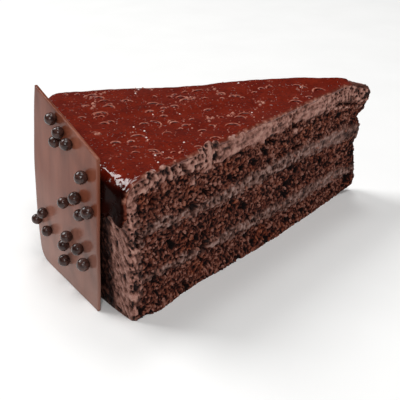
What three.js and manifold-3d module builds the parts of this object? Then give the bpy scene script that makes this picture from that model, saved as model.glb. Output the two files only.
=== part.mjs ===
// A slice of a round chocolate layer cake: three sponge layers with two cream fillings,
// a frosting coat on the top and the round side, a poured glaze over the coat, and a thin
// chocolate plaque with sugar pearls that stands against the round side.
// Millimetres, +Z up. The tip of the slice points towards +X, the bottom lies at Z = 0,
// and the origin is under the middle of the slice.
import * as THREE from "three";
import { mergeVertices } from "three/addons/utils/BufferGeometryUtils.js";
import Module from "manifold-3d";

// ---------------------------------------------------------------- driving dimensions

const CAKE_RADIUS = 120; // of the whole round cake, over the frosting
const SLICE_ANGLE = THREE.MathUtils.degToRad(38.4);
const CAKE_HEIGHT = 48; // to the top of the glaze
const COAT = 4; // frosting on the round side
const GLAZE = 1.2;
const RIM_ROUNDING = 6; // where the top turns down into the round side
const DRIP_HEIGHT = 31; // mean height at which the glaze stops on the side
const DRIP_WAVE = 4;
const GAP = 0.3; // between pieces that aren't laid face to face

const TIP_X = 60; // where the two cuts would meet
const TIP_ROUNDING = 2.4; // radius of the blunt tip
const TIP_START = 10; // distance from the tip at which the cuts begin to bulge
const FROSTING_REACH = 5.4; // how far the drooping frosting passes the tip
const FROSTING_DROOP = 2.2;

// Heights of the seams between layers, from the rim to the tip at equal steps.
const SEAMS = {
  lowerFillingBottom: [10.5, 10.5, 10.2, 9.4, 9, 9],
  lowerFillingTop: [14.5, 14.5, 14.2, 13.4, 13, 13],
  upperFillingBottom: [27, 27, 26.8, 26.2, 25.4, 24.5],
  upperFillingTop: [30.5, 29.6, 31, 31.3, 31.2, 32],
  frostingBottom: [40.2, 39.6, 40.8, 41, 41, 41],
};

// How far the crumbled tip passes the meeting point of the cuts, in equal steps from the
// bottom to the underside of the frosting.
const TIP_REACH = [-6, 2.2, 2.5, 1.3, 1.4, 0.6, -0.3, 1.2, 1.7, 0.2, 3.4, 4.6];

const CRUMB_RELIEF = 0.55; // torn crumb on the cut faces
const CREAM_BULGE = 0.7; // a filling swells out between the sponges
const SMEAR_RELIEF = 0.7; // knife marks in the frosting
const DOME = 2.2; // rise of the top towards the tip

// In equal steps from the rim to the tip: how much the top rises further towards the far
// cut, and how far the crumb at the foot of the near cut spreads over the board.
const FAR_RISE = [1.8, 2, 0.9, 1.3, 1.4, 1];
const FOOT_SPREAD = [0, 1.6, 0.6, 0.2, 1.1, 1.3, 1.4, 1.5, 1, 0.9, 0.3, 0, 0];
const SPACING = 3.1; // between points of a surface

const PLAQUE_WIDTH = 39.5;
const PLAQUE_TALL = 62; // its sloping top edge runs from the tall side ...
const PLAQUE_SHORT = 51; // ... down to the short one
const PLAQUE_BOW = 3.2; // its tall side bows outwards
const PLAQUE_CORNER = 4; // rounding of the corner under that side
const PLAQUE_THICKNESS = 1;
const PLAQUE_FOOT = new THREE.Vector2(-61.3, -29.4); // near corner of its outer face
const PLAQUE_TURN = THREE.MathUtils.degToRad(9.6);
const PLAQUE_LEAN = THREE.MathUtils.degToRad(4.6); // the top leans on the cake
const PEARL_SINK = 0.3; // how deep a pearl is set into the plaque

// Pearls on the plaque, in loose groups: across from the short side, up from the foot,
// and diameter.
const PEARL_GROUPS = [
  [[25.5, 55.3, 3.7], [21, 52.4, 3.6], [23.7, 48.6, 3.5], [15.8, 50.4, 3.7]],
  [[6.7, 43.3, 3.9]],
  [[10.9, 34.9, 3.9], [19.1, 29.9, 3.5], [8.2, 30.4, 3.6], [3.3, 33.4, 3.8]],
  [[34.6, 19.6, 3.5], [39.2, 15.3, 3.5], [31.6, 14.2, 3.5]],
  [[17.1, 18.9, 3.8], [19.6, 14.6, 3.6], [9.9, 17.9, 3.7], [19, 9.3, 3.8], [6, 14.4, 4]],
];

// ---------------------------------------------------------------- small helpers

const { cos, sin, min, max, abs, round, floor, sqrt, PI } = Math;
const { lerp, smoothstep } = THREE.MathUtils;
const HALF_ANGLE = SLICE_ANGLE / 2;
const CORE_RADIUS = CAKE_RADIUS - COAT;
const CORE_HEIGHT = SEAMS.frostingBottom.at(-1);
const FROSTING_TOP = CAKE_HEIGHT - GLAZE;
const RIM_FOOT = FROSTING_TOP - RIM_ROUNDING;
const RIM_X = TIP_X - CAKE_RADIUS * cos(HALF_ANGLE);

// Repeatable random value from 0 to 1 for a point of a whole-number lattice.
function lattice(i, j, k) {
  const value = sin(i * 127.1 + j * 311.7 + k * 74.7) * 43758.5453;
  return value - floor(value);
}

// Smooth noise from -1 to 1 whose lumps are about one unit of its arguments wide.
function noise(x, y, z) {
  const cell = [floor(x), floor(y), floor(z)];
  const part = [x - cell[0], y - cell[1], z - cell[2]].map((t) => smoothstep(t, 0, 1));
  let sum = 0;
  for (const corner of [0, 1, 2, 3, 4, 5, 6, 7]) {
    const step = [corner & 1, (corner >> 1) & 1, corner >> 2];
    const weight = step.reduce((w, s, n) => w * (s ? part[n] : 1 - part[n]), 1);
    sum += weight * lattice(cell[0] + step[0], cell[1] + step[1], cell[2] + step[2]);
  }
  return 2 * sum - 1;
}

// Value at a share from 0 to 1 along a list of values at equal steps, with soft turns.
function alongList(values, share) {
  const place = min(max(share, 0), 0.9999) * (values.length - 1);
  const step = floor(place);
  return lerp(values[step], values[step + 1], smoothstep(place - step, 0, 1));
}

const seamHeight = (seam, x) => alongList(seam, (x - RIM_X) / (TIP_X - RIM_X));

// Half the width of the slice at a distance r from the meeting point of the cuts. The
// blunt tip passes that point by reach.
function halfWidth(r, reach) {
  const noseCentre = TIP_ROUNDING - reach;
  if (r >= TIP_START) return r * sin(HALF_ANGLE);
  if (r >= noseCentre) {
    const share = (r - noseCentre) / (TIP_START - noseCentre);
    return lerp(TIP_ROUNDING, TIP_START * sin(HALF_ANGLE), share * share);
  }
  return sqrt(max(TIP_ROUNDING ** 2 - (noseCentre - r) ** 2, 0));
}

// Point of the plan at distance r from the tip, with v from -1 on the near cut to +1 on
// the far cut.
function plan(r, v, reach) {
  const x = TIP_X - r + max(r, 0) * (1 - cos(v * HALF_ANGLE));
  const across = sin(v * HALF_ANGLE) / sin(HALF_ANGLE);
  return new THREE.Vector2(x, across * halfWidth(r, reach));
}

// A body is collected as points and triangles, counter-clockwise seen from outside.
class Body {
  points = [];
  faces = [];

  add(point) {
    this.points.push(point.x, point.y, point.z);
    return this.points.length / 3 - 1;
  }

  triangle(a, b, c, seenFromBehind) {
    this.faces.push(a, ...(seenFromBehind ? [c, b] : [b, c]));
  }

  // Joins two rows of point numbers that may differ in length. The upper row lies above the
  // lower one and both run to the right, seen from outside or else from behind.
  stitch(lower, upper, seenFromBehind = false) {
    let i = 0;
    let j = 0;
    while (i < lower.length - 1 || j < upper.length - 1) {
      const lowerNext = (i + 1) / (lower.length - 1);
      const upperNext = (j + 1) / (upper.length - 1);
      if (j === upper.length - 1 || (i < lower.length - 1 && lowerNext <= upperNext)) {
        this.triangle(lower[i], lower[i + 1], upper[j], seenFromBehind);
        i += 1;
      } else {
        this.triangle(lower[i], upper[j + 1], upper[j], seenFromBehind);
        j += 1;
      }
    }
  }

  geometry() {
    const geometry = new THREE.BufferGeometry();
    geometry.setAttribute("position", new THREE.Float32BufferAttribute(this.points, 3));
    geometry.setIndex(this.faces);
    geometry.computeVertexNormals();
    return geometry;
  }
}

function namedMesh(name, geometry, color, roughness) {
  const material = new THREE.MeshStandardMaterial({ color, roughness, metalness: 0 });
  const mesh = new THREE.Mesh(geometry, material);
  mesh.name = name;
  return mesh;
}

// ---------------------------------------------------------------- sponges and fillings

const ARC_STEPS = 5; // from the middle of the round side to its corner
const CUT_STEPS = round((CORE_RADIUS - TIP_START) / 2.7);
const BULGE_STEPS = 3; // where the cuts swell towards the tip
const NOSE_STEPS = 3;
const RING_HALF = ARC_STEPS + CUT_STEPS + BULGE_STEPS + NOSE_STEPS;

// Distance from the tip and side value of step i of the outline, which runs from the
// middle of the round side along the near cut to the very tip.
function outlineStep(i, reach) {
  const noseCentre = TIP_ROUNDING - reach;
  if (i <= ARC_STEPS) return { r: CORE_RADIUS, v: -i / ARC_STEPS };
  const cutStep = i - ARC_STEPS;
  if (cutStep <= CUT_STEPS) {
    return { r: lerp(CORE_RADIUS, TIP_START, cutStep / CUT_STEPS), v: -1 };
  }
  const bulgeStep = cutStep - CUT_STEPS;
  if (bulgeStep <= BULGE_STEPS) {
    return { r: lerp(TIP_START, noseCentre, bulgeStep / BULGE_STEPS), v: -1 };
  }
  const turn = ((bulgeStep - BULGE_STEPS) / NOSE_STEPS) * (PI / 2);
  return { r: noseCentre - TIP_ROUNDING * sin(turn), v: -1 };
}

// A cut surface is torn: this is how far it stands out or lies back at a point.
const tear = (point, z) => CRUMB_RELIEF * noise(point.x / 4, point.y / 4, z / 3);

// Moves a point of the cut on one side, -1 near or +1 far, straight out of the cut.
function moveOut(point, side, distance) {
  point.x += distance * sin(HALF_ANGLE);
  point.y += distance * cos(HALF_ANGLE) * side;
}

// How far the foot of a cut spreads at a distance r from the meeting point of the cuts.
function footSpread(side, r, height) {
  if (side > 0) return 0;
  return alongList(FOOT_SPREAD, 1 - r / CAKE_RADIUS) * smoothstep(8 - height, 0, 8);
}

// One closed ring round the slice, between two seams and at a share of the way up.
function layerRing(body, bottom, top, share, swell) {
  const ring = [];
  for (let i = 0; i < 2 * RING_HALF; i++) {
    const side = i <= RING_HALF ? -1 : 1;
    const step = i <= RING_HALF ? i : 2 * RING_HALF - i;
    const clean = outlineStep(step, 0);
    const cleanX = plan(clean.r, clean.v, 0).x;
    const height = lerp(bottom(cleanX), top(cleanX), share);
    const reach = alongList(TIP_REACH, height / CORE_HEIGHT);
    const { r, v } = outlineStep(step, reach);
    const point = plan(r, v, reach);
    point.y *= -side;
    if (step >= ARC_STEPS && step < RING_HALF) {
      const bulge = swell * sin(share * PI) + footSpread(side, r, height);
      moveOut(point, side, tear(point, height) + bulge);
    }
    const z = lerp(bottom(point.x), top(point.x), share);
    ring.push(body.add({ x: point.x, y: point.y, z }));
  }
  return ring;
}

// Closes a ring with strips that run straight across the slice.
function layerCap(body, ring, facesUp) {
  const count = ring.length;
  for (let i = 0; i < RING_HALF; i++) {
    const near = ring[i];
    const far = ring[(count - i) % count];
    const nextNear = ring[i + 1];
    const nextFar = ring[count - i - 1];
    if (nextNear !== nextFar) body.triangle(near, nextNear, nextFar, !facesUp);
    if (near !== far) body.triangle(near, nextFar, far, !facesUp);
  }
}

function layer(bottom, top, rows, swell) {
  const body = new Body();
  const rings = [];
  for (let row = 0; row <= rows; row++) rings.push(layerRing(body, bottom, top, row / rows, swell));
  for (let row = 0; row < rows; row++) {
    const closed = (ring) => [...ring, ring[0]];
    body.stitch(closed(rings[row]), closed(rings[row + 1]));
  }
  layerCap(body, rings[0], false);
  layerCap(body, rings[rows], true);
  return body.geometry();
}

// ---------------------------------------------------------------- frosting and glaze

// Rows of the coat's outer surface, from the foot of the round side up over the rim and
// along the top to the tip: radius, height and outward direction of each.
function coatRows() {
  const rows = [];
  const topRadius = CAKE_RADIUS - RIM_ROUNDING;
  const sideSteps = round(RIM_FOOT / SPACING);
  for (let i = 0; i <= sideSteps; i++) {
    rows.push({ r: CAKE_RADIUS, z: (RIM_FOOT * i) / sideSteps, outward: 0 });
  }
  const rimSteps = 4;
  for (let i = 1; i < rimSteps; i++) {
    const turn = (i / rimSteps) * (PI / 2);
    const r = topRadius + RIM_ROUNDING * cos(turn);
    rows.push({ r, z: RIM_FOOT + RIM_ROUNDING * sin(turn), outward: turn });
  }
  const topSteps = round((topRadius - TIP_START) / SPACING);
  for (let i = 0; i <= topSteps; i++) {
    rows.push({ r: lerp(topRadius, TIP_START, i / topSteps), z: FROSTING_TOP, outward: PI / 2 });
  }
  const tipSteps = 5;
  for (let i = 1; i <= tipSteps; i++) {
    const share = i / tipSteps;
    const r = lerp(TIP_START, TIP_ROUNDING * 0.25 - FROSTING_REACH, share);
    rows.push({ r, z: FROSTING_TOP - FROSTING_DROOP * share ** 2, outward: PI / 2 });
  }
  return rows;
}

const plaqueFrame = makePlaqueFrame();

// Directions of the plaque, seen from outside: to the right, up its face and out of it.
function makePlaqueFrame() {
  const right = new THREE.Vector3(sin(PLAQUE_TURN), -cos(PLAQUE_TURN), 0);
  const level = new THREE.Vector3(-cos(PLAQUE_TURN), -sin(PLAQUE_TURN), 0);
  const up = new THREE.Vector3(0, 0, cos(PLAQUE_LEAN)).addScaledVector(level, -sin(PLAQUE_LEAN));
  const out = new THREE.Vector3().crossVectors(right, up);
  const foot = new THREE.Vector3(PLAQUE_FOOT.x, PLAQUE_FOOT.y, PLAQUE_THICKNESS * sin(PLAQUE_LEAN));
  return { right, up, out, foot };
}

// The coat is pressed flat where the plaque leans on it, with room for depth under it.
function pressUnderPlaque(point, depth) {
  const back = plaqueFrame.foot.clone().addScaledVector(plaqueFrame.out, -PLAQUE_THICKNESS - GAP);
  const proud = point.clone().sub(back).dot(plaqueFrame.out) + depth;
  if (proud > 0) point.addScaledVector(plaqueFrame.out, -proud);
  return point;
}

// Rise of the top above its level at the rim, higher towards the tip and the far cut.
function topRise(point) {
  const r = TIP_X - point.x;
  const lengthwise = smoothstep(point.x, RIM_X, TIP_X - 25) * smoothstep(r, -14, 8);
  const sideways = lerp(0.45, 1, smoothstep(point.y, -12, 14));
  const across = point.y / max(halfWidth(r, FROSTING_REACH), 1);
  const farRise = alongList(FAR_RISE, (point.x - RIM_X) / (TIP_X - RIM_X)) * smoothstep(across, 0, 1);
  return DOME * lengthwise * sideways + farRise - 1;
}

// Knife marks and lumps in the coat, which lies level on the board at its foot.
function smear(point, z) {
  const broad = noise(point.x / 11, point.y / 7, z / 9);
  const fine = noise(point.x / 4, point.y / 4, z / 4);
  return SMEAR_RELIEF * (broad + 0.4 * fine) * smoothstep(z, 0, 3);
}

// The rows on the round side rise and fall together, and the glaze's edge with them.
function sideWave(row, v) {
  if (row.outward > 0) return 0;
  return DRIP_WAVE * cos(4 * (v + 1)) * sin((PI * row.z) / RIM_FOOT);
}

// A point of the coat's outer surface, lifted by cover along its outward direction.
function coatPoint(row, v, cover) {
  const base = plan(row.r, v, FROSTING_REACH);
  const height = row.z + sideWave(row, v);
  const lift = smear(base, height) + topRise(base) * sin(row.outward) + cover;
  const point = plan(row.r + lift * cos(row.outward), v, FROSTING_REACH);
  if (abs(v) === 1 && row.r > TIP_START / 2) moveOut(point, v, tear(point, height));
  const z = height + lift * sin(row.outward);
  const glazeRoom = cover > 0 ? 0 : 0.8 * GLAZE;
  return pressUnderPlaque(new THREE.Vector3(point.x, point.y, z), glazeRoom);
}

// A point of the coat's inner surface, which wraps the sponges and fillings.
function coatInnerPoint(row, v) {
  const r = min(row.r, CORE_RADIUS + GAP);
  const point = plan(r, v, FROSTING_REACH);
  const ceiling = seamHeight(SEAMS.frostingBottom, point.x) + GAP;
  const z = row.outward === 0 ? min(row.z, ceiling) : ceiling;
  if (abs(v) === 1 && row.r > TIP_START / 2) moveOut(point, v, tear(point, z));
  return new THREE.Vector3(point.x, point.y, z);
}

// A closed thick sheet between an outer and an inner surface over the same rows.
function thickSheet(rows, outerPoint, innerPoint) {
  const body = new Body();
  const outer = [];
  const inner = [];
  for (const row of rows) {
    const width = 2 * halfWidth(row.r, FROSTING_REACH);
    const steps = max(round(width / SPACING), 1);
    const shares = Array.from({ length: steps + 1 }, (_, i) => -1 + (2 * i) / steps);
    outer.push(shares.map((v) => body.add(outerPoint(row, v))));
    inner.push(shares.map((v) => body.add(innerPoint(row, v))));
  }
  const last = rows.length - 1;
  const nearEdge = (i) => [outer[i][0], inner[i][0]];
  const farEdge = (i) => [outer[i].at(-1), inner[i].at(-1)];
  for (let i = 0; i < last; i++) {
    body.stitch(outer[i], outer[i + 1], true);
    body.stitch(inner[i], inner[i + 1]);
    body.stitch(nearEdge(i), nearEdge(i + 1));
    body.stitch(farEdge(i), farEdge(i + 1), true);
  }
  body.stitch(inner[0], outer[0], true);
  body.stitch(outer[last], inner[last], true);
  return body.geometry();
}

// ---------------------------------------------------------------- plaque with pearls

// Joins closed geometries into one solid.
function fuse(wasm, geometries) {
  let solid = null;
  for (const geometry of geometries) {
    geometry.deleteAttribute("normal");
    geometry.deleteAttribute("uv");
    const merged = mergeVertices(geometry, 1e-4);
    const next = new wasm.Manifold(new wasm.Mesh({
      numProp: 3,
      vertProperties: new Float32Array(merged.attributes.position.array),
      triVerts: new Uint32Array(merged.index.array),
    }));
    solid = solid ? solid.add(next) : next;
  }
  const { vertProperties, triVerts } = solid.getMesh();
  const result = new THREE.BufferGeometry();
  result.setAttribute("position", new THREE.BufferAttribute(vertProperties, 3));
  result.setIndex(new THREE.BufferAttribute(triVerts, 1));
  result.computeVertexNormals();
  return result;
}

function plaque(wasm) {
  const outline = new THREE.Shape();
  outline.moveTo(0, 0);
  outline.lineTo(0, PLAQUE_SHORT);
  outline.lineTo(-PLAQUE_WIDTH, PLAQUE_TALL);
  const bowed = -PLAQUE_WIDTH - 2 * PLAQUE_BOW;
  outline.quadraticCurveTo(bowed, PLAQUE_TALL / 2, -PLAQUE_WIDTH, PLAQUE_CORNER);
  outline.quadraticCurveTo(-PLAQUE_WIDTH, 0, PLAQUE_CORNER - PLAQUE_WIDTH, 0);
  outline.closePath();
  const sheet = new THREE.ExtrudeGeometry(outline, {
    depth: PLAQUE_THICKNESS,
    bevelEnabled: false,
    curveSegments: 8,
  });
  sheet.translate(0, 0, -PLAQUE_THICKNESS);
  const pieces = [sheet];
  for (const [across, up, diameter] of PEARL_GROUPS.flat()) {
    const pearl = new THREE.IcosahedronGeometry(diameter / 2, 1);
    pearl.translate(-across, up, diameter / 2 - PEARL_SINK);
    pieces.push(pearl);
  }
  const geometry = fuse(wasm, pieces);
  const { right, up, out, foot } = plaqueFrame;
  return geometry.applyMatrix4(new THREE.Matrix4().makeBasis(right, up, out).setPosition(foot));
}

// ---------------------------------------------------------------- the slice

const wasm = await Module();
wasm.setup();

const slice = new THREE.Group();
const ground = () => 0;
const seam = (name) => (x) => seamHeight(SEAMS[name], x);

// Each layer with its lower and upper seam, its rows of points and its colour.
const LAYERS = [
  ["sponge_bottom", ground, seam("lowerFillingBottom"), 4],
  ["filling_lower", seam("lowerFillingBottom"), seam("lowerFillingTop"), 2],
  ["sponge_middle", seam("lowerFillingTop"), seam("upperFillingBottom"), 5],
  ["filling_upper", seam("upperFillingBottom"), seam("upperFillingTop"), 2],
  ["sponge_top", seam("upperFillingTop"), seam("frostingBottom"), 4],
];
for (const [name, bottom, top, rows] of LAYERS) {
  const isCream = name.startsWith("filling");
  const geometry = layer(bottom, top, rows, isCream ? CREAM_BULGE : 0);
  slice.add(namedMesh(name, geometry, isCream ? "#6d4a45" : "#4a2219", isCream ? 0.7 : 0.95));
}

const rows = coatRows();
const frostingPoint = (row, v) => coatPoint(row, v, 0);
slice.add(namedMesh("frosting", thickSheet(rows, frostingPoint, coatInnerPoint), "#6b453e", 0.7));

// The glaze thins out at its lower edge on the side and stops before the tip.
const glazeRows = rows.filter((row) => row.z > DRIP_HEIGHT - SPACING && row.r > TIP_START / 3);
function glazePoint(row, v) {
  const thinned = row.z < DRIP_HEIGHT || row.r < TIP_START;
  return coatPoint(row, v, thinned ? 0.5 * GLAZE : GLAZE);
}
slice.add(namedMesh("glaze", thickSheet(glazeRows, glazePoint, frostingPoint), "#5b1a10", 0.15));

slice.add(namedMesh("plaque", plaque(wasm), "#6e4a43", 0.4));

export default slice;
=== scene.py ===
# %% [markdown]
# # A slice of chocolate layer cake
#
# One wedge out of a round cake 240 mm across: three layers of dark sponge with two cream
# fillings, frosting on the top and the round side, a poured glaze over that, and a thin
# chocolate plaque with sugar pearls leaning on the round side.
#
# The solids of the frame already have the true sizes, but their faces are plain. What makes
# a cut cake look real is torn crumb, cream smeared by the knife and wet glaze. So each solid
# is replaced by a finer mesh that keeps its form and carries that surface as real relief.

import random
from functools import partial
from math import cos, degrees, hypot, pi, radians, sin, sqrt, tau

import bmesh
import bpy
from mathutils import Matrix, Vector, noise


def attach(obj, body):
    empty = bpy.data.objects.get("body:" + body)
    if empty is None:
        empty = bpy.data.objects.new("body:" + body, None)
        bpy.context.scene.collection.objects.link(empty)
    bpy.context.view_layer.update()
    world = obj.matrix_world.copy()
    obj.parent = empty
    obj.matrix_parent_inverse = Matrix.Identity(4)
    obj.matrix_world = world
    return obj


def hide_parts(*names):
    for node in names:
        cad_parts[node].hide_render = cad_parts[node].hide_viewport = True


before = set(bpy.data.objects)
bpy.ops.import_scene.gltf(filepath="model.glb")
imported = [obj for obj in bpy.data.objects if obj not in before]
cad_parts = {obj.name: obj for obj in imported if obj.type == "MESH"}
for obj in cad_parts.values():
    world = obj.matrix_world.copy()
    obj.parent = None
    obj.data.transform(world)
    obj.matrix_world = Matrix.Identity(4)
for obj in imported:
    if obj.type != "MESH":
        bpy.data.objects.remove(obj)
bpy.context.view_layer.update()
print("solids:", ", ".join(sorted(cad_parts)))

# %% [markdown]
# ## Sizes
#
# A baker thinks in millimetres, so the shapes are worked out in millimetres and turned into
# metres when a mesh is finished. The tip points to +X, the near cut faces -Y, and the cake
# stands on Z = 0. The seams between the layers are not level: a filling is thicker where
# more cream was spread. Each list gives a seam's height from the rim to the tip in equal
# steps, which is how one would measure it with a ruler along the cut.

# %% Driving dimensions
MM = 0.001
CAKE_RADIUS = 120.0
HALF_ANGLE = radians(38.4 / 2)
CAKE_HEIGHT = 48.0
COAT = 4.0  # frosting on the round side
GLAZE = 1.2
RIM_ROUNDING = 6.0
TIP_X = 60.0  # where the two cuts would meet
TIP_ROUNDING = 2.4
TIP_START = 10.0  # distance from the tip at which the cuts begin to bulge
FROSTING_REACH = 5.4  # how far the frosting passes the tip at its top
FROSTING_LOW_REACH = 4.6  # and at its foot
FROSTING_DROOP = 2.2

CORE_RADIUS = CAKE_RADIUS - COAT
FROSTING_TOP = CAKE_HEIGHT - GLAZE
RIM_FOOT = FROSTING_TOP - RIM_ROUNDING
TOP_RADIUS = CAKE_RADIUS - RIM_ROUNDING
RIM_X = TIP_X - CAKE_RADIUS * cos(HALF_ANGLE)

SEAMS = {
    "board": [0, 0],
    "lower_filling_bottom": [10.5, 10.5, 10.2, 9.4, 9, 9],
    "lower_filling_top": [14.5, 14.5, 14.2, 13.4, 13, 13],
    "upper_filling_bottom": [27, 27, 26.8, 26.2, 25.4, 24.5],
    "upper_filling_top": [30.5, 29.6, 31, 31.3, 31.2, 32],
    "frosting_bottom": [40.2, 39.6, 40.8, 41, 41, 41],
}
TIP_REACH = [-6, 2.2, 2.5, 1.3, 1.4, 0.6, -0.3, 1.2, 1.7, 0.2, 3.4, 4.6]
CORE_HEIGHT = SEAMS["frosting_bottom"][-1]

print(f"wedge: radius {CAKE_RADIUS:.0f} mm, height {CAKE_HEIGHT:.0f} mm, rim at x {RIM_X:.1f} mm")

# %% [markdown]
# ## The plan of the wedge
#
# Every layer has the same plan: a round side, two straight cuts and a blunt tip. A point of
# it is named by `r`, its distance from where the cuts would meet, and `v`, which runs from
# -1 on the near cut to +1 on the far one. One function turns that into X and Y, so layers,
# frosting and glaze fit each other wherever their edges run.

# %% From r and v to a place in the plan
def lerp(start, end, share):
    return start + (end - start) * share


def smooth(value, start, end):
    """A soft step from 0 at start to 1 at end."""
    share = min(max((value - start) / (end - start), 0.0), 1.0)
    return share * share * (3 - 2 * share)


def along(values, share):
    """The value at a share along a list of equal steps, with soft turns."""
    place = min(max(share, 0.0), 0.9999) * (len(values) - 1)
    step = int(place)
    return lerp(values[step], values[step + 1], smooth(place - step, 0, 1))


def half_width(r, reach):
    nose_centre = TIP_ROUNDING - reach
    if r >= TIP_START:
        return r * sin(HALF_ANGLE)
    if r >= nose_centre:
        share = (r - nose_centre) / (TIP_START - nose_centre)
        return lerp(TIP_ROUNDING, TIP_START * sin(HALF_ANGLE), share * share)
    return sqrt(max(TIP_ROUNDING**2 - (nose_centre - r) ** 2, 0))


def plan(r, v, reach):
    x = TIP_X - r + max(r, 0) * (1 - cos(v * HALF_ANGLE))
    y = sin(v * HALF_ANGLE) / sin(HALF_ANGLE) * half_width(r, reach)
    return Vector((x, y, 0))


def noise_at(x, y, z):
    return noise.noise(Vector((x, y, z)))


def rough(point, octaves):
    """Noise with finer noise on it, each octave half as wide and half as strong."""
    return noise.fractal(point, 1.0, 2.0, octaves)


def outwards(v):
    """Level direction out of the cake's middle at v."""
    return Vector((-cos(v * HALF_ANGLE), sin(v * HALF_ANGLE), 0))


WAVE_LENGTH = 6.0  # of the small waves that spreading leaves in a seam
WAVE_HEIGHT = 0.5


def rim_to_tip(x):
    """0 at the corners of the round side and 1 at the tip."""
    return (x - RIM_X) / (TIP_X - RIM_X)


def seam_height(name, x, y):
    if name == "board":
        return 0.0
    wave = noise_at(x / WAVE_LENGTH, y / WAVE_LENGTH, SEAMS[name][0])
    return along(SEAMS[name], rim_to_tip(x)) + WAVE_HEIGHT * wave


print("corner of the near cut:", [round(c, 1) for c in plan(CAKE_RADIUS, -1, 0)[:2]])

# %% [markdown]
# ## Walking round the wedge
#
# To cover the wedge with an even mesh we walk once round its outline and note a station
# every third of a millimetre on the near cut, and further apart where less shows. A station
# keeps which stretch it lies on and how far along, not its place, because the tip reaches
# out further at some heights than at others.

# %% Stations of the outline
CUT_OUT = {side: Vector((sin(HALF_ANGLE), side * cos(HALF_ANGLE), 0)) for side in (-1, 1)}


def stations(lengths, steps):
    """Once round: the middle of the round side, near cut, tip, far cut and back."""
    found = []
    for side in (-1, 1):
        half = []
        for stretch, length in lengths.items():
            count = max(1, round(length / steps[side, stretch]))
            half += [(stretch, i / count, side) for i in range(count)]
        half.append(("nose", 1.0, side))
        found += half if side < 0 else half[::-1][1:]
    return found


def ring_point(station, reach, outer_radius):
    """Place of a station, the direction out of the cake there, and its distance r."""
    stretch, share, side = station
    nose_centre = TIP_ROUNDING - reach
    v = side
    if stretch == "arc":
        r, v = outer_radius, side * share
        out = outwards(v)
    elif stretch == "cut":
        r, out = lerp(outer_radius, TIP_START, share), CUT_OUT[side]
    elif stretch == "flare":
        r, out = lerp(TIP_START, nose_centre, share), CUT_OUT[side].lerp(Vector((0, side, 0)), share)
    else:
        turn = share * pi / 2
        r = nose_centre - TIP_ROUNDING * sin(turn)
        out = Vector((sin(turn), side * cos(turn), 0))
    return plan(r, v, reach), out.normalized(), r


def outline_steps(near, far, arc):
    """Spacing of the stations in mm on each stretch of each side."""
    steps = {(side, "arc"): arc for side in (-1, 1)}
    for stretch in ("cut", "flare", "nose"):
        steps[-1, stretch] = near
        steps[1, stretch] = far
    return steps


ARC_LENGTH = CAKE_RADIUS * HALF_ANGLE  # from the middle of the round side to its corner
OUTLINE = {
    "arc": ARC_LENGTH,
    "cut": CORE_RADIUS - TIP_START,
    "flare": TIP_START,
    "nose": TIP_ROUNDING * pi / 2,
}
FINE = 0.3  # spacing on the near cut
COARSE = 0.5  # and on the far one
LAYER_RING = stations(OUTLINE, outline_steps(FINE, COARSE, 3.0))
print(f"{len(LAYER_RING)} stations round a layer")

# %% [markdown]
# ## A grid bent into a body
#
# A closed body with thousands of even faces is easiest to make as a sheet: `create_grid`
# lays out a flat grid, and each vertex is then moved to its place on the body. The first
# and last columns meet, so merging doubles closes the sheet into a tube. Where a whole row
# is moved to one point, merging turns it into a pole, which closes the tube's end. The
# relief is put in during the same move, and each vertex also keeps a few numbers for its
# material: `pit`, from 0 on a crest to 1 deep in a pore, which the material turns into
# painted shade, `cream`, how much cream covers it, and `pale`, which is 1 where that cream
# is the paler frosting.

# %% Bend, close and finish
CUT_MARKS = ("pit", "cream", "pale")
CRUMB_MARK = (0.3, 0.0, 0.0)  # plain crumb, of middling depth
FROSTING_MARK = (0.3, 1.0, 1.0)


def bent_grid(columns, rows, place, marks=CUT_MARKS):
    """A grid of that many faces; place(column, row) gives each vertex its spot and marks."""
    sheet = bmesh.new()
    bmesh.ops.create_grid(sheet, x_segments=columns, y_segments=rows, size=1)
    layers = [sheet.verts.layers.float.new(name) for name in marks]
    for vertex in sheet.verts:
        column = round((vertex.co.x + 1) / 2 * columns)
        row = round((vertex.co.y + 1) / 2 * rows)
        vertex.co, values = place(column, row)
        for layer, value in zip(layers, values):
            vertex[layer] = value
    return sheet


def close_ends(sheet):
    """Merges what meets, fills what is still open and turns the faces outwards."""
    bmesh.ops.remove_doubles(sheet, verts=sheet.verts, dist=1e-4)
    rim = [edge for edge in sheet.edges if edge.is_boundary]
    if rim:
        bmesh.ops.holes_fill(sheet, edges=rim, sides=0)
    bmesh.ops.recalc_face_normals(sheet, faces=sheet.faces)


def finish_piece(name, sheet, material, slot, *nodes):
    """Turns a bmesh in millimetres into a named object in metres on the cake's body."""
    bmesh.ops.transform(sheet, matrix=Matrix.Scale(MM, 4), verts=sheet.verts)
    for face in sheet.faces:
        face.smooth = True
    mesh = bpy.data.meshes.new(name)
    sheet.to_mesh(mesh)
    sheet.free()
    piece = bpy.data.objects.new(name, mesh)
    bpy.context.scene.collection.objects.link(piece)
    mesh.materials.append(material)
    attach(piece, "root")
    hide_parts(*nodes)
    triangles = sum(len(face.vertices) - 2 for face in mesh.polygons)
    low, high = Vector(piece.bound_box[0]) / MM, Vector(piece.bound_box[6]) / MM
    print(f"{name}: {triangles} triangles, {[round(c, 1) for c in low]} to {[round(c, 1) for c in high]} mm")
    return piece


print("marks of a cut:", ", ".join(CUT_MARKS))

# %% [markdown]
# ## Torn crumb
#
# A knife does not slice a soft sponge cleanly. It drags, and the crumb tears along its air
# pores, so the face is a mass of small grains with dark pores between them. The relief is
# built from four sizes of noise: crags of a few millimetres where the crumb broke, lumps
# and pores a bit over a millimetre wide, and fine grain. The pores come from a cell pattern
# (Voronoi): near the middle of a cell the surface drops. The pattern is bent by other noise
# first, because round, even holes would look like a bath sponge. Real crumb is finer still,
# down to a tenth of a millimetre. The grain is drawn at 0.6 mm, the finest that shows from
# an arm's length away.

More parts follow.
